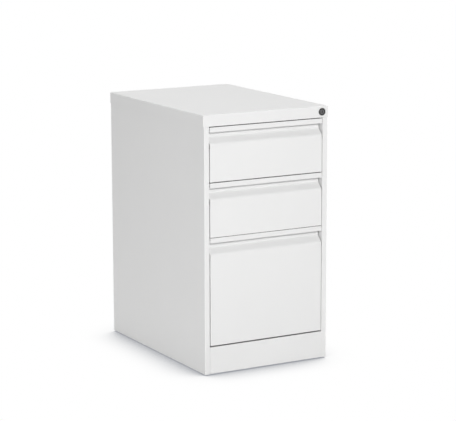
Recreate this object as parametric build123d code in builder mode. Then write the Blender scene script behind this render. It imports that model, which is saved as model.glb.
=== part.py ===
from build123d import *
from math import copysign, cos, radians, sin, tan
import os

# Steel pedestal filing cabinet: two box drawers over a file drawer, one lock for all three.
# Millimetres. Z is up, the drawer fronts face -Y, and the origin is on the floor at the middle.

# Case
case_width = 381.0  # over the side panels
case_depth = 559.0  # front of the stiles to the rear flanges
case_sheet = 0.9
case_bend = 1.5  # outside radius of a bend
floor_gap = 3.5  # floor to the bottom edge of the case
kick_height = 73.7
cap_height = 31.1
cap_clearance = 1.2  # cap skirt to the side panels
cap_corner = 2.8  # rounding of the cap's upright corners
cap_edge = 2.4  # rounding of the cap's upper edges
cap_seam = 0.4  # joint line between the cap and the stiles
stile_return = 22.0  # how far a stile turns back into the case
stile_cover = 0.8  # how far a stile reaches in front of the slides' mounting face
rear_flange = 15.0
top_flange = 12.0
back_sheet = 0.8
back_flange = 12.0
header_sheet = 1.2
header_depth = 17.0
kick_return = 20.0

# Drawer fronts and the gaps round them
box_front_height = 146.8
file_front_height = 294.4
base_gap = 3.3  # kick plate to the file drawer
file_gap = 1.0  # file drawer to the middle drawer
box_gap = 2.0  # middle drawer to the top drawer
top_gap = 2.2  # top drawer to the cap
side_gap = 2.0  # fronts to the stiles
front_sheet = 0.9
front_bend = 1.6
front_edge = 0.8  # rounding of a front's upright edges
lip_height = 13.7
hem_gap = 0.5  # open space inside the lip's folded edge
hem_height = 8.0
hem_flat = 0.1  # straight run between the fold's two bends
pull_depth = 17.0
knee_drop = 15.0  # lip to the foot of the recess wall
heel_drop = 31.4  # lip to where the slope meets the face
knee_radius = 5.0
heel_radius = 12.0
front_lip_return = 12.0  # turned-up edge inside the bottom of a front
liner_margin = 0.6

# Drawer bodies
drawer_sheet = 0.8
drawer_bend = 1.6
tray_rise = 12.0  # bottom edge of the front to the underside of the tray
tray_drop = 30.0  # top edge of the front to the top of the tray's sides
tray_flange = 6.0
back_tab = 14.0  # edges of a drawer's back, turned to the rear
tab_clearance = 0.4  # drawer back to the tray's top flange
hanger_inset = 8.5  # inside of the tray to the outside of a hanging-file bar
hanger_sheet = 2.0
hanger_bend = 3.0
hanger_height = 16.0
hanger_rise = 7.0  # bars above the tray's sides
hanger_tab = 12.0

# Uprights and slides
upright_depth = 13.6
upright_sheet = 1.2
upright_bend = 2.2
upright_crown = 30.0
upright_foot = 12.0
upright_drop = 6.0  # cap to the upper end
upright_lift = 1.0  # bottom pan's rim to the lower end
slide_end_gap = 2.5  # stile to the front of the slides
slide_rear_gap = 24.8  # slides to the back panel
slide_sheet = 1.0
slide_bend = 1.4
box_slide_height = 35.0
file_slide_height = 45.0
box_slide_rise = 30.0  # underside of the tray to the slide's middle
file_slide_rise = 60.0
box_extension = 0.75  # share of the slide's length that the drawer travels
cage_sheet = 0.6
cage_bend = 1.2
cage_gap = 0.35  # ball cage to the members beside it
cage_reach = 0.9  # cage past the balls
box_cage_spare = 7.0
file_cage_length = 200.0
ball_diameter = 3.5
ball_gap = 0.12  # ball to race
ball_hole_gap = 0.2  # ball to its hole in the cage
race_slack = 0.22  # race radius less the ball's
race_angle = 30.0  # slope of a race's flanks
race_shoulder = 1.3
race_land = 0.23
balls_per_row = 3
hook_inset = 45.0  # slide's ends to its mounting hooks
hook_width = 8.0
hook_neck = 4.0
hook_drop = 8.0
hook_gap = 0.3

# Base
pan_height = 14.0  # floor to the underside of the bottom pan
pan_sheet = 1.2
pan_rim = 20.0
pan_corner = 2.0
pan_front_gap = 0.6
glide_inset_x = 40.0  # case side to a glide's axis
glide_inset_y = 62.0
glide_stem = 8.0
glide_foot = 28.0
glide_foot_height = 8.0
glide_top = 40.0
glide_bevel = 1.5
thread_gap = 0.05
pan_hole_gap = 0.5
nut_width = 13.0
nut_height = 6.5
weight_height = 28.0
weight_depth = 120.0
weight_side_gap = 20.0  # counterweight to the glides' axes
weight_rear_gap = 8.0

# Lock
lock_inset = 18.2  # case side to the lock's axis
bezel_diameter = 20.6
bezel_height = 2.8
bezel_round = 1.2
barrel_diameter = 16.0
barrel_length = 20.0
barrel_gap = 0.3  # barrel to its holes in the sheet
plug_diameter = 12.0
plug_gap = 0.05
plug_recess = 0.5  # plug's face behind the bezel's
keyway_width = 2.0
keyway_height = 8.0
keyway_depth = 14.0
plug_tail = 6.0  # square end that turns the cam
tail_gap = 0.05
tail_step = 1.0  # barrel's end to the cam
lock_nut_width = 22.0
lock_nut_height = 4.0
cam_sheet = 2.0
cam_radius = 10.0  # axis to drive pin
cam_hub = 7.0
cam_end = 5.0
pin_diameter = 5.0
pin_past_bar = 2.0
cam_turn = 90.0
screw_head = 7.0
screw_height = 2.4
screw_round = 0.8
screw_clearance = 1.6  # screw head to the lock bar
slot_gap = 0.5
slot_end_gap = 0.6
bar_sheet = 2.0
bar_width = 11.0
bar_side_gap = 1.1  # lock bar to the side panel
bar_tail = 20.0  # lock bar below its lowest tab
head_margin = 3.0
tab_reach = 2.7  # drawer side to a tab's tip
tab_height = 8.0
tab_sheet = 2.0
tab_lap = 8.0  # tab over the lock bar
tab_corner = 1.5
tab_lift = 6.0  # slide's upper edge to a tab
catch_lift = 2.0  # tab to the catch above it when unlocked
catch_height = 12.0
catch_sheet = 1.5
catch_bend = 2.2
catch_gap = 1.0  # tabs to the catches behind them
catch_inset = 1.8  # catch to the stile as it passes
catch_foot = 18.0
guide_sheet = 0.8
guide_bend = 1.2
guide_gap = 0.4
guide_ear = 9.0
guide_height = 16.0
guide_lift = 5.0  # raised tab to the guide above it

# Heights above the floor
kick_top = floor_gap + kick_height
file_bottom = kick_top + base_gap
middle_bottom = file_bottom + file_front_height + file_gap
top_bottom = middle_bottom + box_front_height + box_gap
cap_bottom = top_bottom + box_front_height + top_gap
case_height = cap_bottom + cap_height
cap_under = case_height - case_sheet
pan_floor = pan_height + pan_sheet
upright_bottom = pan_height + pan_rim + upright_lift
upright_top = cap_bottom - upright_drop

# Positions across the case, from its middle
case_half = case_width / 2
side_in = case_half - case_sheet
mount_x = side_in - upright_depth
stile_in = mount_x - stile_cover
front_half = stile_in - side_gap
cap_half = case_half + cap_clearance + case_sheet
glide_x = case_half - glide_inset_x
lock_x = case_half - lock_inset

# Depths behind the front of the case
front_y = -case_depth / 2
back_out = case_depth - case_sheet
back_in = back_out - back_sheet
slide_front = stile_return + slide_end_gap
slide_rear = back_in - slide_rear_gap
slide_length = slide_rear - slide_front
drawer_rear = slide_rear - back_tab
slide_middle = (slide_front + slide_rear) / 2
liner_front = pull_depth + front_sheet
liner_back = liner_front + drawer_sheet
hook_depths = (slide_front + hook_inset, slide_rear - hook_inset)
cam_front = barrel_length + tail_step
cam_back = cam_front + cam_sheet
bar_front = cam_back + screw_height + screw_clearance
bar_back = bar_front + bar_sheet
tab_back = bar_back + tab_sheet
pan_front = stile_return + pan_front_gap

# Ball races: a groove of rounded vee section, and the height of a slide's parts above its middle
flank = radians(race_angle)
ball_radius = ball_diameter / 2
race_radius = ball_radius + race_slack
shoulder_run = race_shoulder * tan(flank / 2) + race_land


def race_half(radius):
    return (radius * tan(flank) + shoulder_run) * cos(flank)


def race_apex(radius):
    return race_half(radius) * tan(flank)


def race_depth(radius):
    return race_apex(radius) - radius * (1 / cos(flank) - 1)


# Positions across a slide, from its mounting face towards the drawer
crest_radius = race_radius + slide_sheet
middle_web = slide_sheet + 2 * cage_gap + cage_sheet
outer_race = middle_web + slide_bend + shoulder_run + race_half(race_radius)
inner_race = outer_race + race_half(race_radius) + race_half(crest_radius)
slide_thickness = inner_race + race_half(race_radius) + shoulder_run + slide_bend
box_race = slide_thickness / 2
drawer_half = mount_x - slide_thickness
tray_in = drawer_half - drawer_sheet

# How the drawers and the lock move
box_travel = box_extension * slide_length
file_travel = slide_length
lock_travel = 2 * cam_radius * sin(radians(cam_turn / 2))
box_cage_length = slide_length - box_travel - box_cage_spare

drawers = {
    "top": (top_bottom, box_front_height, box_slide_height, box_slide_rise),
    "middle": (middle_bottom, box_front_height, box_slide_height, box_slide_rise),
    "file": (file_bottom, file_front_height, file_slide_height, file_slide_rise),
}
sides = {"left": -1, "right": 1}


def slide_level(name):
    bottom, height, slide_height, slide_rise = drawers[name]
    return bottom + tray_rise + slide_rise


def tab_level(name):
    return slide_level(name) + drawers[name][2] / 2 + tab_lift


def catch_level(name):
    return tab_level(name) + tab_height + catch_lift


def at_depth(depth):
    """Upright plane across the case, seen from the front; a negative extrusion runs to the back."""
    return Plane.XZ.offset(-front_y - depth)


def plan_points(side, points):
    """Points given as distance from the middle and depth, for one side of the case."""
    return [(side * across, front_y + depth) for across, depth in points]


def inward(side):
    return Side.LEFT if side > 0 else Side.RIGHT


def outward(side):
    return Side.RIGHT if side > 0 else Side.LEFT


def centre_line(points, radii, thickness, side):
    """The middle of a sheet, and its bend radii, from a line along one of the sheet's faces."""
    toward = 1 if side == Side.LEFT else -1
    spots = [Vector(*point) for point in points]
    runs = [(end - start).normalized() for start, end in zip(spots, spots[1:])]
    normals = [Vector(-run.Y, run.X) * toward for run in runs]
    middle = [spots[0] + normals[0] * (thickness / 2)]
    bends = []
    for spot, before, after, radius in zip(spots[1:], normals, normals[1:], radii):
        middle.append(spot + (before + after) * (thickness / 2 / (1 + before.dot(after))))
        turn = before.cross(after).Z * toward
        bends.append(radius - copysign(thickness / 2, turn))
    middle.append(spots[-1] + normals[-1] * (thickness / 2))
    return middle, bends


def bent_sheet(plane, points, radii, thickness, side, length):
    """A sheet bent along a line on one of its faces; the sheet lies to the given side of the line."""
    if not isinstance(radii, list):
        radii = [radii] * (len(points) - 2)
    middle, bends = centre_line(points, radii, thickness, side)
    with BuildPart() as sheet:
        with BuildSketch(plane):
            with BuildLine():
                FilletPolyline(*middle, radius=bends)
            trace(line_width=thickness)
        extrude(amount=length)
    return sheet.part


def save(builder, name):
    builder.part.label = name
    export_step(builder.part, f"parts/{name}.step")


os.makedirs("parts", exist_ok=True)


# Side panels: stile and its return in front, a flange behind, a flange under the cap


def side_panel(side):
    wall = bent_sheet(
        Plane.XY.offset(floor_gap),
        plan_points(side, [
            (stile_in, stile_return),
            (stile_in, 0),
            (case_half, 0),
            (case_half, case_depth),
            (case_half - rear_flange, case_depth),
        ]),
        case_bend, case_sheet, inward(side), cap_bottom - cap_seam - floor_gap,
    )
    flange_front = hook_depths[0] - upright_crown / 2
    flange_back = back_out - back_flange - cap_seam
    crown = bent_sheet(
        at_depth(flange_front),
        [
            (side * case_half, cap_bottom - cap_seam),
            (side * case_half, cap_under),
            (side * (case_half - top_flange), cap_under),
        ],
        case_bend, case_sheet, inward(side), flange_front - flange_back,
    )
    with BuildPart() as panel:
        add(wall)
        add(crown)
        with BuildSketch(Plane.YZ.offset(side * side_in)):
            with Locations((0, (cap_bottom - cap_seam + cap_under - case_bend) / 2)):
                Rectangle(case_depth - 2 * cap_corner, cap_height + cap_seam - case_sheet - case_bend)
        extrude(amount=side * case_sheet)
    return panel


for hand, side in sides.items():
    save(side_panel(side), f"{hand}_side_panel")


# Back panel, let in behind the side panels' rear flanges

back_half = side_in - case_bend
back_sheet_part = bent_sheet(
    Plane.YZ.offset(-back_half),
    [
        (front_y + back_out - back_flange, floor_gap),
        (front_y + back_out, floor_gap),
        (front_y + back_out, cap_under),
        (front_y + back_out - back_flange, cap_under),
    ],
    case_bend, back_sheet, Side.LEFT, 2 * back_half,
)
with BuildPart() as back_panel:
    add(back_sheet_part)
save(back_panel, "back_panel")


# Lock position: the front of the case, with the depth along the lock's axis

lock_z = cap_bottom + cap_height / 2


def lock_plane(depth):
    return Plane(origin=(lock_x, front_y + depth, lock_z), x_dir=(1, 0, 0), z_dir=(0, 1, 0))


# Top cap: a pan turned over the case, with the lock's hole in its front skirt

with BuildPart() as top_cap:
    with BuildSketch(Plane.XY.offset(cap_bottom)):
        RectangleRounded(2 * cap_half, case_depth, cap_corner)
    extrude(amount=cap_height)
    fillet(top_cap.faces().sort_by(Axis.Z)[-1].edges(), radius=cap_edge)
    offset(amount=-case_sheet, openings=top_cap.faces().sort_by(Axis.Z)[0])
    with BuildSketch(lock_plane(0)):
        Circle(barrel_diameter / 2 + barrel_gap)
    extrude(amount=2 * case_sheet, mode=Mode.SUBTRACT)
save(top_cap, "top_cap")


# Header rail behind the cap's skirt, which carries the lock

header_half = side_in - cap_seam
header_channel = bent_sheet(
    Plane.YZ.offset(-header_half),
    [
        (front_y + header_depth, cap_bottom),
        (front_y + case_sheet, cap_bottom),
        (front_y + case_sheet, cap_under),
        (front_y + header_depth, cap_under),
    ],
    [case_bend, cap_edge], header_sheet, Side.RIGHT, 2 * header_half,
)
with BuildPart() as header_rail:
    add(header_channel)
    with BuildSketch(lock_plane(0)):
        Circle(barrel_diameter / 2 + barrel_gap)
    extrude(amount=2 * (case_sheet + header_sheet), mode=Mode.SUBTRACT)
save(header_rail, "header_rail")


# Kick plate between the stiles

kick_channel = bent_sheet(
    Plane.YZ.offset(-stile_in),
    [
        (front_y + kick_return, floor_gap),
        (front_y, floor_gap),
        (front_y, kick_top),
        (front_y + kick_return, kick_top),
    ],
    case_bend, case_sheet, Side.RIGHT, 2 * stile_in,
)
with BuildPart() as kick_plate:
    add(kick_channel)
save(kick_plate, "kick_plate")


# Bottom pan, with holes for the levelling glides

glide_places = [
    (x, front_y + depth)
    for depth in (glide_inset_y, case_depth - glide_inset_y)
    for x in (-glide_x, glide_x)
]
with BuildPart() as bottom_pan:
    with BuildSketch(Plane.XY.offset(pan_height)):
        with Locations((0, front_y + (pan_front + back_in) / 2)):
            Rectangle(2 * side_in, back_in - pan_front)
    extrude(amount=pan_rim)
    pan_edges = bottom_pan.faces().sort_by(Axis.Z)[0].edges()
    fillet(pan_edges, radius=pan_corner)
    offset(amount=-pan_sheet, openings=bottom_pan.faces().sort_by(Axis.Z)[-1])
    with BuildSketch(Plane.XY.offset(pan_height)):
        with Locations(*glide_places):
            Circle(glide_stem / 2 + pan_hole_gap)
    extrude(amount=pan_sheet, mode=Mode.SUBTRACT)
save(bottom_pan, "bottom_pan")


# Weld nuts on the pan, and the glides screwed into them

with BuildPart() as glide_nuts:
    with BuildSketch(Plane.XY.offset(pan_floor)):
        with Locations(*glide_places):
            RegularPolygon(nut_width / 2, 6, major_radius=False)
            Circle(glide_stem / 2 + thread_gap, mode=Mode.SUBTRACT)
    extrude(amount=nut_height)
save(glide_nuts, "glide_nuts")


def glide(place):
    with BuildPart() as turned:
        with BuildSketch(Plane(origin=(*place, 0), x_dir=(1, 0, 0), z_dir=(0, -1, 0))):
            with BuildLine():
                Polyline(
                    (0, 0),
                    (glide_foot / 2 - glide_bevel, 0),
                    (glide_foot / 2, glide_bevel),
                    (glide_foot / 2, glide_foot_height / 2),
                    (glide_stem, glide_foot_height),
                    (glide_stem / 2, glide_foot_height),
                    (glide_stem / 2, glide_top),
                    (0, glide_top),
                    close=True,
                )
            make_face()
        revolve(axis=Axis((*place, 0), (0, 0, 1)))
    return turned


glide_names = ["front_left_glide", "front_right_glide", "rear_left_glide", "rear_right_glide"]
for name, place in zip(glide_names, glide_places):
    save(glide(place), name)


# Counterweight at the back of the pan

with BuildPart() as counterweight:
    with BuildSketch(Plane.XY.offset(pan_floor)):
        weight_back = back_in - pan_sheet - weight_rear_gap
        with Locations((0, front_y + weight_back - weight_depth / 2)):
            Rectangle(2 * (glide_x - weight_side_gap), weight_depth)
    extrude(amount=weight_height)
save(counterweight, "counterweight")


# Uprights: top-hat posts on the side panels, slotted for the slides' hooks


def upright(side, hook_depth):
    crown_front = hook_depth - upright_crown / 2
    crown_back = hook_depth + upright_crown / 2
    foot_x = side_in - upright_sheet
    post = bent_sheet(
        Plane.XY.offset(upright_bottom),
        plan_points(side, [
            (foot_x, crown_front - upright_foot),
            (foot_x, crown_front),
            (mount_x, crown_front),
            (mount_x, crown_back),
            (foot_x, crown_back),
            (foot_x, crown_back + upright_foot),
        ]),
        upright_bend, upright_sheet, outward(side), upright_top - upright_bottom,
    )
    with BuildPart() as hat:
        add(post)
        slot_height = hook_neck + hook_drop + 2 * hook_gap
        with BuildSketch(Plane.YZ.offset(side * mount_x)):
            for name in drawers:
                with Locations((front_y + hook_depth, slide_level(name))):
                    Rectangle(hook_width + 2 * hook_gap, slot_height)
        extrude(amount=side * upright_sheet, mode=Mode.SUBTRACT)
    return hat


for place, hook_depth in zip(("front", "rear"), hook_depths):
    for hand, side in sides.items():
        save(upright(side, hook_depth), f"{place}_{hand}_upright")


# Slides: ball-bearing members whose sections are drawn from the mounting face towards the drawer


def slide_plane(name, side, depth):
    return Plane(
        origin=(side * mount_x, front_y + depth, slide_level(name)),
        x_dir=(-side, 0, 0),
        z_dir=(0, 1, 0),
    )


def mirrored(points):
    """A section's upper half followed by its lower half."""
    return points + [(across, -height) for across, height in reversed(points)]


def outer_race_level(slide_height):
    """Inside face of the fixed member's flanges."""
    return slide_height / 2 - slide_sheet - race_depth(race_radius)


def ball_level(race_top):
    return race_top - ball_gap - ball_radius


def outer_ball_level(slide_height):
    return ball_level(slide_height / 2 - slide_sheet)


def seat_level(balls):
    """Outside face of a flange whose race the balls run on from above."""
    return balls - ball_radius - ball_gap + race_depth(race_radius)


def inner_ball_level(slide_height):
    crest = seat_level(outer_ball_level(slide_height)) + race_depth(crest_radius)
    return ball_level(crest - slide_sheet)


def fixed_member(name, side):
    race = outer_race if name == "file" else box_race
    level = outer_race_level(drawers[name][2])
    half = race_half(race_radius)
    upper = [
        (race + half + shoulder_run, level),
        (race + half, level),
        (race, level + race_apex(race_radius)),
        (race - half, level),
        (slide_sheet, level),
    ]
    corner = slide_bend - slide_sheet
    bends = [race_shoulder, race_radius, race_shoulder, corner]
    channel = bent_sheet(
        slide_plane(name, side, slide_front), mirrored(upper), bends + bends[::-1],
        slide_sheet, Side.RIGHT, slide_length,
    )
    with BuildPart() as member:
        add(channel)
        tongue = mount_x + upright_sheet + hook_gap
        for depth in hook_depths:
            with BuildSketch(Plane.XZ.offset(-front_y - depth - hook_width / 2)):
                with BuildLine():
                    Polyline(
                        (side * mount_x, slide_level(name) + hook_neck),
                        (side * (tongue + slide_sheet), slide_level(name) + hook_neck),
                        (side * (tongue + slide_sheet), slide_level(name) - hook_drop),
                        (side * tongue, slide_level(name) - hook_drop),
                        (side * tongue, slide_level(name)),
                        (side * mount_x, slide_level(name)),
                        close=True,
                    )
                make_face()
            extrude(amount=hook_width)
    return member


def drawer_member(name, side):
    slide_height = drawers[name][2]
    race = inner_race if name == "file" else box_race
    balls = inner_ball_level(slide_height) if name == "file" else outer_ball_level(slide_height)
    level = seat_level(balls)
    half = race_half(race_radius)
    upper = [
        (race - half - shoulder_run, level),
        (race - half, level),
        (race, level - race_apex(race_radius)),
        (race + half, level),
        (slide_thickness, level),
    ]
    bends = [race_shoulder, race_radius, race_shoulder, slide_bend]
    channel = bent_sheet(
        slide_plane(name, side, slide_front), mirrored(upper), bends + bends[::-1],
        slide_sheet, Side.RIGHT, slide_length,
    )
    with BuildPart() as member:
        add(channel)
    return member


def middle_member(name, side):
    level = seat_level(outer_ball_level(drawers[name][2]))
    half = race_half(race_radius)
    reach = race_half(crest_radius) - race_land
    upper = [
        (inner_race + reach, level + race_apex(crest_radius) - reach * tan(flank)),
        (inner_race, level + race_apex(crest_radius)),
        (outer_race, level - race_apex(race_radius)),
        (outer_race - half, level),
        (middle_web, level),
    ]
    bends = [crest_radius, race_radius, race_shoulder, slide_bend]
    channel = bent_sheet(
        slide_plane(name, side, slide_front), mirrored(upper), bends + bends[::-1],
        slide_sheet, Side.LEFT, slide_length,
    )
    with BuildPart() as member:
        add(channel)
    return member


def ball_cage(name, side, web, race, balls, length):
    """A strip bent to a channel, with a row of balls in holes along each edge."""
    edge = balls + cage_sheet / 2
    reach = race + ball_radius + ball_hole_gap + cage_reach
    strip = bent_sheet(
        slide_plane(name, side, slide_middle - length / 2),
        [(reach, edge), (web, edge), (web, -edge), (reach, -edge)],
        cage_bend, cage_sheet, Side.LEFT, length,
    )
    pitch = length / balls_per_row
    rows = [front_y + slide_middle + (i - (balls_per_row - 1) / 2) * pitch for i in range(balls_per_row)]
    across = side * (mount_x - race)
    level = slide_level(name)
    with BuildPart() as cage:
        add(strip)
        with Locations(*[(across, y, level) for y in rows]):
            Cylinder(ball_radius + ball_hole_gap, 2 * (edge + cage_sheet), mode=Mode.SUBTRACT)
        with Locations(*[(across, y, level + up) for y in rows for up in (-balls, balls)]):
            Sphere(ball_radius)
    return cage.part


def cage_pair(name, web, race, balls, length):
    halves = [ball_cage(name, side, web, race, balls, length) for side in sides.values()]
    with BuildPart() as pair:
        add(halves)
    return pair


first_cage_web = slide_sheet + cage_gap
second_cage_web = middle_web + slide_sheet + cage_gap
for name in drawers:
    for hand, side in sides.items():
        save(fixed_member(name, side), f"{name}_{hand}_slide_fixed")
        save(drawer_member(name, side), f"{name}_{hand}_slide_drawer")
for name in ("top", "middle"):
    box_balls = outer_ball_level(box_slide_height)
    save(cage_pair(name, first_cage_web, box_race, box_balls, box_cage_length), f"{name}_ball_cages")
for hand, side in sides.items():
    save(middle_member("file", side), f"file_{hand}_slide_middle")
file_balls = outer_ball_level(file_slide_height)
save(cage_pair("file", first_cage_web, outer_race, file_balls, file_cage_length), "file_outer_ball_cages")
file_balls = inner_ball_level(file_slide_height)
save(cage_pair("file", second_cage_web, inner_race, file_balls, file_cage_length), "file_inner_ball_cages")


# Drawer fronts: one sheet folded into a lip, a finger recess, a slope and a face


def drawer_front(bottom, height):
    top = bottom + height
    lip = top - lip_height
    heel = lip - heel_drop
    hem = 2 * front_sheet + hem_gap
    hem_bend = (hem - hem_flat) / 2
    section = [
        (front_y + hem, lip + hem_height),
        (front_y + hem, lip),
        (front_y, lip),
        (front_y, top),
        (front_y + liner_front, top),
        (front_y + liner_front, lip - knee_drop),
        (front_y + front_sheet, heel),
        (front_y + front_sheet, bottom + front_sheet),
        (front_y + pull_depth, bottom + front_sheet),
        (front_y + pull_depth, bottom + front_lip_return),
    ]
    fold = front_bend - front_sheet
    bends = [
        hem_bend, hem_bend, front_bend, front_bend,
        knee_radius + front_sheet, heel_radius - front_sheet, fold, fold,
    ]
    shell = bent_sheet(
        Plane.YZ.offset(-front_half), section, bends, front_sheet, Side.RIGHT, 2 * front_half,
    )
    with BuildPart() as front:
        add(shell)
        for side in sides.values():
            with BuildSketch(Plane.YZ.offset(side * front_half)):
                with BuildLine():
                    Polyline(
                        (front_y, bottom + front_bend),
                        (front_y + liner_front, bottom + front_bend),
                        (front_y + liner_front, heel - heel_radius),
                        (front_y, heel - heel_radius),
                        close=True,
                    )
                make_face()
            extrude(amount=-side * front_sheet)
        upright_edges = front.edges().filter_by(Axis.Z).group_by(Axis.Y)[0]
        fillet(upright_edges.group_by(SortBy.LENGTH)[-1], radius=front_edge)
    return front


def drawer_liner(bottom, height):
    with BuildPart() as liner:
        with BuildSketch(at_depth(liner_front)):
            with Locations((0, bottom + height / 2)):
                Rectangle(2 * (front_half - liner_margin), height - 2 * liner_margin)
        extrude(amount=-drawer_sheet)
    return liner


def drawer_tray(bottom, height):
    floor = bottom + tray_rise
    rim = bottom + height - tray_drop
    trough = bent_sheet(
        at_depth(liner_back),
        [
            (tray_flange - drawer_half, rim),
            (-drawer_half, rim),
            (-drawer_half, floor),
            (drawer_half, floor),
            (drawer_half, rim),
            (drawer_half - tray_flange, rim),
        ],
        drawer_bend, drawer_sheet, Side.LEFT, liner_back - slide_rear,
    )
    with BuildPart() as tray:
        add(trough)
    return tray


def drawer_back(bottom, height):
    floor = bottom + tray_rise + drawer_bend
    rim = bottom + height - tray_drop - drawer_bend - tab_clearance
    plate = bent_sheet(
        Plane.XY.offset(floor),
        [
            (-tray_in, front_y + slide_rear),
            (-tray_in, front_y + drawer_rear),
            (tray_in, front_y + drawer_rear),
            (tray_in, front_y + slide_rear),
        ],
        drawer_bend, drawer_sheet, Side.LEFT, rim - floor,
    )
    with BuildPart() as back:
        add(plate)
    return back


def hanger_bar(side, bottom, height):
    """A bar for hanging folders, its ends turned in against the liner and the drawer's back."""
    rim = bottom + height - tray_drop
    bar_x = tray_in - hanger_inset
    strip = bent_sheet(
        Plane.XY.offset(rim + hanger_rise - hanger_height),
        plan_points(side, [
            (bar_x - hanger_tab, liner_back),
            (bar_x, liner_back),
            (bar_x, drawer_rear),
            (bar_x - hanger_tab, drawer_rear),
        ]),
        hanger_bend, hanger_sheet, inward(side), hanger_height,
    )
    with BuildPart() as bar:
        add(strip)
    return bar


def lock_catch(name):
    bracket = bent_sheet(
        Plane.XY.offset(catch_level(name)),
        plan_points(1, [
            (drawer_half, tab_back + catch_gap + catch_foot),
            (drawer_half, tab_back + catch_gap),
            (stile_in - catch_inset, tab_back + catch_gap),
        ]),
        catch_bend, catch_sheet, Side.LEFT, catch_height,
    )
    with BuildPart() as catch:
        add(bracket)
    return catch


for name, (bottom, height, slide_height, slide_rise) in drawers.items():
    save(drawer_front(bottom, height), f"{name}_drawer_front")
    save(drawer_liner(bottom, height), f"{name}_drawer_liner")
    save(drawer_tray(bottom, height), f"{name}_drawer_tray")
    save(drawer_back(bottom, height), f"{name}_drawer_back")
    save(lock_catch(name), f"{name}_lock_catch")
for hand, side in sides.items():
    save(hanger_bar(side, file_bottom, file_front_height), f"{hand}_hanger_bar")


# Lock barrel and its nut, clamped on the skirt and the header

with BuildPart() as lock_barrel:
    with BuildSketch(lock_plane(-bezel_height)):
        Circle(bezel_diameter / 2)
    extrude(amount=bezel_height)
    fillet(lock_barrel.faces().sort_by(Axis.Y)[0].edges(), radius=bezel_round)
    with BuildSketch(lock_plane(0)):
        Circle(barrel_diameter / 2)
    extrude(amount=barrel_length)
    with BuildSketch(lock_plane(-bezel_height)):
        Circle(plug_diameter / 2 + plug_gap)
    extrude(amount=bezel_height + barrel_length, mode=Mode.SUBTRACT)
save(lock_barrel, "lock_barrel")

with BuildPart() as lock_nut:
    with BuildSketch(lock_plane(case_sheet + header_sheet)):
        RegularPolygon(lock_nut_width / 2, 6, major_radius=False)
        Circle(barrel_diameter / 2 + thread_gap, mode=Mode.SUBTRACT)
    extrude(amount=lock_nut_height)
save(lock_nut, "lock_nut")


# Lock plug with its keyway and square tail, the cam on the tail, and the screw that holds it

with BuildPart() as lock_plug:
    with BuildSketch(lock_plane(plug_recess - bezel_height)):
        Circle(plug_diameter / 2)
    extrude(amount=bezel_height - plug_recess + cam_front)
    with BuildSketch(lock_plane(cam_front)):
        Rectangle(plug_tail, plug_tail)
    extrude(amount=cam_sheet)
    with BuildSketch(lock_plane(plug_recess - bezel_height)):
        Rectangle(keyway_width, keyway_height)
    extrude(amount=keyway_depth, mode=Mode.SUBTRACT)
save(lock_plug, "lock_plug")

# The lock plane's second axis points down, so the pin starts below the lock's axis and rises
rest_angle = radians(cam_turn / 2)
pin_across = cam_radius * cos(rest_angle)
pin_drop = cam_radius * sin(rest_angle)
with BuildPart() as lock_cam:
    with BuildSketch(lock_plane(cam_front)):
        Circle(cam_hub)
        with Locations((pin_across, pin_drop)):
            Circle(cam_end)
        make_hull()
        Rectangle(plug_tail + 2 * tail_gap, plug_tail + 2 * tail_gap, mode=Mode.SUBTRACT)
    extrude(amount=cam_sheet)
    with BuildSketch(lock_plane(cam_back)):
        with Locations((pin_across, pin_drop)):
            Circle(pin_diameter / 2)
    extrude(amount=bar_back + pin_past_bar - cam_back)
save(lock_cam, "lock_cam")

with BuildPart() as cam_screw:
    with BuildSketch(lock_plane(cam_back)):
        Circle(screw_head / 2)
    extrude(amount=screw_height)
    fillet(cam_screw.faces().sort_by(Axis.Y)[-1].edges(), radius=screw_round)
save(cam_screw, "cam_screw")


# Lock bar: a flat strip that the cam lifts, with a tab on it in front of each drawer's catch

bar_out = side_in - bar_side_gap
bar_in = bar_out - bar_width
slot_half = pin_diameter / 2 + slot_gap
slot_z = lock_z - pin_drop
slot_in = lock_x + pin_across - pin_diameter / 2 - slot_end_gap
slot_out = lock_x + cam_radius + pin_diameter / 2 + slot_end_gap
head_top = slot_z + slot_half + head_margin
with BuildPart() as lock_bar:
    with BuildSketch(at_depth(bar_front)):
        bar_bottom = tab_level("file") - bar_tail
        with Locations(((bar_in + bar_out) / 2, (bar_bottom + head_top) / 2)):
            Rectangle(bar_width, head_top - bar_bottom)
        head_in = slot_in - head_margin
        with Locations(((head_in + bar_out) / 2, slot_z)):
            Rectangle(bar_out - head_in, 2 * (slot_half + head_margin))
        with Locations(((slot_in + slot_out) / 2, slot_z)):
            Rectangle(slot_out - slot_in, 2 * slot_half, mode=Mode.SUBTRACT)
    extrude(amount=-bar_sheet)
save(lock_bar, "lock_bar")

tab_in = drawer_half + tab_reach
tab_out = bar_in + tab_lap
with BuildPart() as lock_tabs:
    with BuildSketch(at_depth(bar_back)):
        with Locations(*[((tab_in + tab_out) / 2, tab_level(name) + tab_height / 2) for name in drawers]):
            RectangleRounded(tab_out - tab_in, tab_height, tab_corner)
    extrude(amount=-tab_sheet)
save(lock_tabs, "lock_tabs")


# Straps on the right side panel that guide the lock bar


def bar_guide(name):
    near = bar_front - guide_gap
    far = bar_back + guide_gap
    crown = bar_in - guide_gap
    ear = guide_bend
    fold = guide_bend - guide_sheet
    return bent_sheet(
        Plane.XY.offset(tab_level(name) + tab_height + lock_travel + guide_lift),
        plan_points(1, [
            (side_in, near - guide_ear),
            (side_in, near),
            (crown, near),
            (crown, far),
            (side_in, far),
            (side_in, far + guide_ear),
        ]),
        [ear, fold, fold, ear], guide_sheet, Side.LEFT, guide_height,
    )


guide_straps = [bar_guide(name) for name in drawers]
with BuildPart() as lock_bar_guides:
    add(guide_straps)
save(lock_bar_guides, "lock_bar_guides")
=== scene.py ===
import math

import bmesh
import bpy
from mathutils import Matrix, Vector


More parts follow.
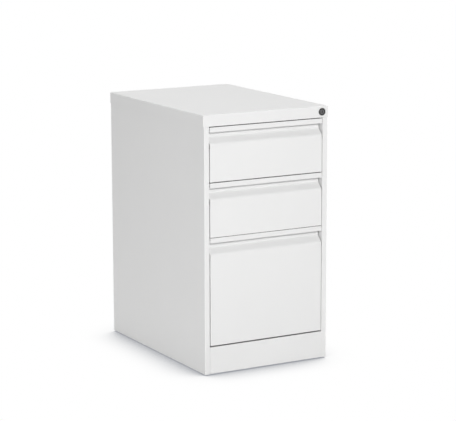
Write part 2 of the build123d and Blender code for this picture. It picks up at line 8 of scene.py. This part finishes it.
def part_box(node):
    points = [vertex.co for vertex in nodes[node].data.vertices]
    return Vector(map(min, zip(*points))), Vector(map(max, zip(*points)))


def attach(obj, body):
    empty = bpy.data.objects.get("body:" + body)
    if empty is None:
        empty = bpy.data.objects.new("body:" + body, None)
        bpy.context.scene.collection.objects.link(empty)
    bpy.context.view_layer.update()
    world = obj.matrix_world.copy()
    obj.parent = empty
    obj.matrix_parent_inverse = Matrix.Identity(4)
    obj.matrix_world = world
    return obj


# Steel pedestal filing cabinet: finishes, small fasteners, studio and camera.
# Metres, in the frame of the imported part: Z is up and the drawer fronts face -Y.

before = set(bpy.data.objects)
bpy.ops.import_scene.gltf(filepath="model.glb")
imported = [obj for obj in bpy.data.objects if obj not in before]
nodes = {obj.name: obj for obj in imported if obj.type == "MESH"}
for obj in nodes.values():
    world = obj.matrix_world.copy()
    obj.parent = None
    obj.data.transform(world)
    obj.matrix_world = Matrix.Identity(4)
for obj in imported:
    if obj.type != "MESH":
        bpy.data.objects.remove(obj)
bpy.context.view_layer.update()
mm = 0.001

# The photograph's camera, solved from the straight edges of the case
image_width = 456
focal_pixels = 1880.7
camera_place = Vector((-2.5144, -4.5545, 1.3865))
camera_azimuth = math.radians(29.26)
camera_pitch = math.radians(10.87)
camera_roll = math.radians(-0.137)
sensor_width = 36.0

# Softboxes: place, point aimed at, width and height,
# and how bright a white surface at that point looks, with 1 as white
softboxes = {
    "key": dict(
        place=(-0.72, -3.40, 1.80), aim=(0.0, -0.28, 0.38), size=(1.20, 0.40), level=0.585),
    "left": dict(
        place=(-3.00, -0.13, 0.62), aim=(-0.19, -0.10, 0.45), size=(0.30, 0.55), level=0.20),
    # Narrow, so that the edge of the top cap throws no shadow down the sides
    "overhead": dict(
        place=(0.0, 0.45, 3.00), aim=(0.0, 0.10, 0.70), size=(0.40, 2.20), level=0.55),
    "rear": dict(
        place=(0.40, 3.30, 0.42), aim=(0.0, 0.28, 0.36), size=(0.75, 0.75), level=0.41),
    "right": dict(
        place=(3.20, 0.10, 0.45), aim=(0.19, 0.0, 0.36), size=(0.80, 0.80), level=0.31),
}
# How bright a white surface looks in the even light from all round
ambient_level = 0.295

# Floor, and the soft shadow where the cabinet stands on it. The shadow is the share of the sky that
# is covered within shadow_reach, raised to shadow_curve, and it is full at shadow_share. The sky is
# taken about shadow_tilt, not the vertical, so the shadow is stronger on the left and in front.
floor_radius = 3.0
floor_segments = 96
floor_bounce = 0.85
shadow_reach = 0.15
shadow_share = 0.24
shadow_curve = 2.8
shadow_colour = (0.345, 0.357, 0.388)
shadow_tilt = (0.16, 0.08, 0.98)
shadow_samples = 16

# Painted shade where something lies close over a surface: on upward ledges in the joints
# between the drawer fronts and the kick plate, and deep in the lock's keyway. The shade on ledges
# begins where the normal's Z is the first of the two slope values, and is full at the second.
joint_shade = dict(colour=(0.08, 0.08, 0.08), reach=8 * mm, open_share=0.75, only_up=True)
keyway_shade = dict(colour=(0.006, 0.006, 0.006), reach=5 * mm, open_share=0.8, only_up=False)
joint_shade_slope = (0.6, 0.9)
painted_shade_samples = 8
joint_shaded_nodes = ("kick_plate", "top_drawer_front", "middle_drawer_front", "file_drawer_front")

# Finishes: where most values of a noise texture lie, and the detail of smears and grain
noise_low, noise_high = 0.3, 0.7
smear_detail = 2.0
grain_detail = 1.0
bump_strength = 0.4

# Blind rivets that hold the slides to the drawers:
# outline as (radius, height) in millimetres, from the base to the middle
rivet_outline = [
    (3.2, 0.0), (3.2, 0.25), (2.9, 0.75), (2.2, 1.15), (1.35, 1.35), (1.0, 1.3), (0.9, 0.85)]
rivet_segments = 24
rivet_front_inset = 40 * mm
rivet_rear_inset = 53 * mm
drawers = ("top_drawer", "middle_drawer", "file_drawer")

# Keyway of the lock, and the wafers that show in it: how far each hangs down, from front to back
keyway_width = 2 * mm
keyway_height = 8 * mm
wafer_drops = (1.7 * mm, 2.3 * mm, 1.3 * mm, 2.1 * mm, 1.5 * mm)
wafer_thickness = 0.6 * mm
wafer_pitch = 2.2 * mm
wafer_setback = 2.4 * mm
wafer_play = 0.1 * mm
wafer_bevel = 0.12 * mm
wafer_bevel_segments = 3

smooth_angle = math.radians(40)


# Node trees

class Tree:
    """The nodes of a material or world, with short calls for those that are used here."""

    def __init__(self, owner):
        owner.use_nodes = True
        self.nodes = owner.node_tree.nodes
        self.links = owner.node_tree.links

    def feed(self, socket, value):
        """Gives a socket another socket's value, or a fixed one."""
        if isinstance(value, bpy.types.NodeSocket):
            self.links.new(value, socket)
        else:
            socket.default_value = value

    def add(self, kind, inputs=None, **settings):
        node = self.nodes.new(kind)
        for name, value in settings.items():
            setattr(node, name, value)
        for name, value in (inputs or {}).items():
            self.feed(node.inputs[name], value)
        return node

    def noise(self, size, detail, stretch=(1.0, 1.0, 1.0)):
        """Soft random values on the piece itself, in lumps of about the given size."""
        place = self.add("ShaderNodeTexCoord").outputs["Object"]
        mapping = self.add("ShaderNodeMapping", {"Vector": place, "Scale": stretch})
        inputs = {"Vector": mapping.outputs["Vector"], "Scale": 1 / size, "Detail": detail}
        return self.add("ShaderNodeTexNoise", inputs).outputs["Fac"]

    def spread(self, value, low, high, start=noise_low, end=noise_high):
        """A value brought from start..end to low..high."""
        inputs = {"Value": value, "From Min": start, "From Max": end, "To Min": low, "To Max": high}
        return self.add("ShaderNodeMapRange", inputs).outputs["Result"]

    def reckon(self, operation, first, second):
        node = self.add("ShaderNodeMath", operation=operation)
        self.feed(node.inputs[0], first)
        self.feed(node.inputs[1], second)
        return node.outputs["Value"]

    def blend(self, factor, first, second):
        """A colour between two others."""
        node = self.add("ShaderNodeMix", {"Factor": factor}, data_type="RGBA")
        ends = [socket for socket in node.inputs if socket.type == "RGBA"]
        for socket, colour in zip(ends, (first, second)):
            self.feed(socket, (*colour, 1.0) if isinstance(colour, tuple) else colour)
        return next(socket for socket in node.outputs if socket.type == "RGBA")

    def painted_shade_where_covered(self, clean, colour, reach, open_share, only_up):
        """Painted shade: a colour that turns to a darker one where something lies close over the
        surface.
        """
        near = self.add("ShaderNodeAmbientOcclusion", {"Distance": reach}, samples=painted_shade_samples)
        covered = self.spread(near.outputs["AO"], 1.0, 0.0, 0.0, open_share)
        if only_up:
            normal = self.add("ShaderNodeNewGeometry").outputs["True Normal"]
            height = self.add("ShaderNodeSeparateXYZ", {"Vector": normal}).outputs["Z"]
            covered = self.reckon("MULTIPLY", covered, self.spread(height, 0.0, 1.0, *joint_shade_slope))
        return self.blend(covered, clean, colour)


# Finishes

def make_finish(name, dark, light, patch, rough, smear, grain, relief,
                metallic=0.0, specular=0.5, detail=2.0, stretch=(1.0, 1.0, 1.0), painted_shade=None):
    """A finish: colour from dark to light in patches, roughness in smears, and a grain in relief.

    patch, smear and grain are the sizes of the lumps; detail is that of the patches.
    """
    material = bpy.data.materials.new(name)
    tree = Tree(material)
    colour = tree.blend(tree.noise(patch, detail), dark, light)
    # Painted shade where something lies close over the surface
    if painted_shade:
        colour = tree.painted_shade_where_covered(colour, **painted_shade)
    height = tree.noise(grain, grain_detail, stretch)
    inputs = {"Height": height, "Distance": relief, "Strength": bump_strength}
    bump = tree.add("ShaderNodeBump", inputs)
    shader = tree.nodes["Principled BSDF"]
    tree.feed(shader.inputs["Metallic"], metallic)
    tree.feed(shader.inputs["Specular IOR Level"], specular)
    tree.feed(shader.inputs["Base Color"], colour)
    tree.feed(shader.inputs["Roughness"], tree.spread(tree.noise(smear, smear_detail), *rough))
    tree.feed(shader.inputs["Normal"], bump.outputs["Normal"])
    return material


# Matt powder coat with the fine orange peel of such paint
powder_coat = dict(
    dark=(0.795, 0.795, 0.792), light=(0.815, 0.815, 0.812), patch=180 * mm, detail=3.0,
    rough=(0.74, 0.82), smear=30 * mm, grain=1.1 * mm, relief=0.05 * mm, specular=0.3)

finishes = {
    "white_paint": make_finish("powder_coat", **powder_coat),
    # Bright zinc plate, with faint spangle and the drawing marks of rolled strip
    "zinc_steel": make_finish(
        "zinc_plate", metallic=1.0,
        dark=(0.52, 0.53, 0.55), light=(0.68, 0.69, 0.69), patch=6 * mm, detail=3.0,
        rough=(0.28, 0.44), smear=4 * mm, grain=1.2 * mm, relief=0.03 * mm,
        stretch=(1.0, 0.06, 1.0)),
    # Black-plated barrel of the lock
    "lock_black": make_finish(
        "black_plate",
        dark=(0.024, 0.024, 0.025), light=(0.038, 0.038, 0.039), patch=2 * mm,
        rough=(0.12, 0.20), smear=1.5 * mm, grain=0.6 * mm, relief=0.02 * mm),
    # Nickelled plug of the lock, and its wafers, with painted shade deep in the keyway
    "lock_steel": make_finish(
        "dull_nickel", metallic=1.0,
        dark=(0.12, 0.12, 0.122), light=(0.20, 0.20, 0.203), patch=1.5 * mm,
        rough=(0.18, 0.30), smear=1.0 * mm, grain=0.5 * mm, relief=0.02 * mm, painted_shade=keyway_shade),
    # Hot-rolled plate with its mill scale
    "raw_steel": make_finish(
        "mill_scale", metallic=0.6,
        dark=(0.10, 0.10, 0.105), light=(0.24, 0.225, 0.21), patch=20 * mm, detail=5.0,
        rough=(0.45, 0.70), smear=8 * mm, grain=3.0 * mm, relief=0.1 * mm),
    # Moulded nylon feet
    "glide_nylon": make_finish(
        "black_nylon",
        dark=(0.028, 0.028, 0.028), light=(0.038, 0.038, 0.038), patch=10 * mm,
        rough=(0.42, 0.56), smear=4 * mm, grain=0.8 * mm, relief=0.04 * mm),
}
# Powder coat with painted shade on the ledges in the gaps at the drawer fronts and kick plate
joint_shaded_paint = make_finish("joint_shaded_powder_coat", painted_shade=joint_shade, **powder_coat)

for name, node in nodes.items():
    for slot in node.material_slots:
        slot.material = joint_shaded_paint if name in joint_shaded_nodes else finishes[slot.material.name]


# Small pieces

def add_piece(name, shape, body, slot):
    """Turns a finished mesh into a piece that moves with a body and has a slot's finish."""
    mesh = bpy.data.meshes.new(name)
    bmesh.ops.recalc_face_normals(shape, faces=shape.faces)
    shape.to_mesh(mesh)
    shape.free()
    mesh.shade_smooth()
    mesh.set_sharp_from_angle(angle=smooth_angle)
    mesh.materials.append(finishes[slot])
    piece = bpy.data.objects.new(name, mesh)
    bpy.context.scene.collection.objects.link(piece)
    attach(piece, body)


def add_rivet(shape, place, side):
    """A rivet head on the inside of a drawer's wall; side is -1 on the left and 1 on the right."""
    rings = []
    for radius, height in rivet_outline:
        ring = []
        for step in range(rivet_segments):
            angle = 2 * math.pi * step / rivet_segments
            across = Vector((0.0, math.cos(angle), math.sin(angle))) * radius * mm
            ring.append(shape.verts.new(place + across - Vector((side * height * mm, 0.0, 0.0))))
        rings.append(ring)
    for lower, upper in zip(rings, rings[1:]):
        for step in range(rivet_segments):
            shape.faces.new((lower[step - 1], lower[step], upper[step], upper[step - 1]))
    shape.faces.new(rings[0])
    shape.faces.new(rings[-1])


def make_rivets(drawer):
    """Three rivets on each side of a drawer, in line with its slides."""
    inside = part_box(drawer + "_back")
    shape = bmesh.new()
    for side, word in ((-1, "left"), (1, "right")):
        low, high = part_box(drawer.replace("drawer", word) + "_slide_drawer")
        wall = (inside[0] if side < 0 else inside[1])[0]
        level = (low[2] + high[2]) / 2
        front, rear = low[1] + rivet_front_inset, high[1] - rivet_rear_inset
        for depth in (front, (front + rear) / 2, rear):
            add_rivet(shape, Vector((wall, depth, level)), side)
    add_piece(drawer + "_rivets", shape, drawer, "zinc_steel")


def make_wafers():
    """The row of wafers that hang into the keyway of the lock's plug."""
    low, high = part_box("lock_plug")
    across = (low[0] + high[0]) / 2
    ceiling = (low[2] + high[2] + keyway_height) / 2
    shape = bmesh.new()
    for number, drop in enumerate(wafer_drops):
        depth = low[1] + wafer_setback + number * wafer_pitch
        size = Vector((keyway_width - wafer_play, wafer_thickness, drop))
        middle = Vector((across, depth, ceiling - drop / 2))
        matrix = Matrix.Translation(middle) @ Matrix.Diagonal(size).to_4x4()
        made = bmesh.ops.create_cube(shape, size=1.0, matrix=matrix)
        below = [vert for vert in made["verts"] if vert.co.z < middle.z]
        edges = {
            edge for vert in below for edge in vert.link_edges if edge.other_vert(vert) in below}
        bmesh.ops.bevel(
            shape, geom=list(edges), offset=wafer_bevel, segments=wafer_bevel_segments,
            affect="EDGES", profile=0.5)
    add_piece("lock_wafers", shape, "lock_core", "lock_steel")


# Studio

def background_rays(tree, level, shown):
    """Gives shown to camera, glossy and transmission rays, and level to all others."""
    path = tree.add("ShaderNodeLightPath").outputs
    seen = tree.reckon("MAXIMUM", path["Is Camera Ray"], path["Is Glossy Ray"])
    seen = tree.reckon("MAXIMUM", seen, path["Is Transmission Ray"])
    return tree.spread(seen, level, shown, 0.0, 1.0)


def make_world():
    world = bpy.data.worlds.new("studio")
    bpy.context.scene.world = world
    tree = Tree(world)
    background = tree.nodes["Background"]
    tree.feed(background.inputs["Color"], (1.0, 1.0, 1.0, 1.0))
    tree.feed(background.inputs["Strength"], background_rays(tree, ambient_level, 1.0))


def make_floor():
    """A white disc that darkens near what stands on it, and gives less light than it shows."""
    mesh = bpy.data.meshes.new("floor")
    shape = bmesh.new()
    bmesh.ops.create_circle(shape, cap_ends=True, segments=floor_segments, radius=floor_radius)
    shape.to_mesh(mesh)
    shape.free()
    floor = bpy.data.objects.new("floor", mesh)
    bpy.context.scene.collection.objects.link(floor)
    material = bpy.data.materials.new("floor")
    tree = Tree(material)
    matt = tree.nodes["Principled BSDF"]
    tree.feed(matt.inputs["Base Color"], (floor_bounce, floor_bounce, floor_bounce, 1.0))
    tree.feed(matt.inputs["Roughness"], 1.0)
    tree.feed(matt.inputs["Specular IOR Level"], 0.0)
    tilt = tree.add("ShaderNodeCombineXYZ", dict(zip("XYZ", shadow_tilt))).outputs["Vector"]
    inputs = {"Distance": shadow_reach, "Normal": tilt}
    near = tree.add("ShaderNodeAmbientOcclusion", inputs, samples=shadow_samples)
    covered = tree.spread(near.outputs["AO"], 1.0, 0.0, 0.0, 1.0)
    covered = tree.reckon("POWER", covered, shadow_curve)
    shade = tree.spread(covered, 0.0, 1.0, 0.0, shadow_share)
    shown = tree.blend(shade, (1.0, 1.0, 1.0), shadow_colour)
    glow = tree.add("ShaderNodeEmission", {"Color": shown})
    mix = tree.add("ShaderNodeMixShader", {"Fac": background_rays(tree, 0.0, 1.0)})
    tree.feed(mix.inputs[1], matt.outputs["BSDF"])
    tree.feed(mix.inputs[2], glow.outputs["Emission"])
    tree.feed(tree.nodes["Material Output"].inputs["Surface"], mix.outputs["Shader"])
    mesh.materials.append(material)


def make_lamps():
    for name, box in softboxes.items():
        light = bpy.data.lights.new(name, "AREA")
        light.shape = "RECTANGLE"
        light.size, light.size_y = box["size"]
        away = Vector(box["place"]) - Vector(box["aim"])
        # A lamp of so many watts shows a white surface at watts / (pi * distance) ** 2
        light.energy = box["level"] * math.pi ** 2 * away.length_squared
        lamp = bpy.data.objects.new(name, light)
        lamp.location = box["place"]
        lamp.rotation_mode = "QUATERNION"
        lamp.rotation_quaternion = away.to_track_quat("Z", "Y")
        bpy.context.scene.collection.objects.link(lamp)


def make_camera():
    data = bpy.data.cameras.new("camera")
    data.sensor_width = sensor_width
    data.lens = focal_pixels / image_width * sensor_width
    camera = bpy.data.objects.new("camera", data)
    turn = Matrix.Rotation(-camera_azimuth, 4, "Z")
    tip = Matrix.Rotation(math.pi / 2 - camera_pitch, 4, "X")
    roll = Matrix.Rotation(camera_roll, 4, "Z")
    camera.matrix_world = Matrix.Translation(camera_place) @ turn @ tip @ roll
    bpy.context.scene.collection.objects.link(camera)
    bpy.context.scene.camera = camera


for drawer in drawers:
    make_rivets(drawer)
make_wafers()
make_world()
make_floor()
make_lamps()
make_camera()
bpy.context.scene.view_settings.view_transform = "Standard"
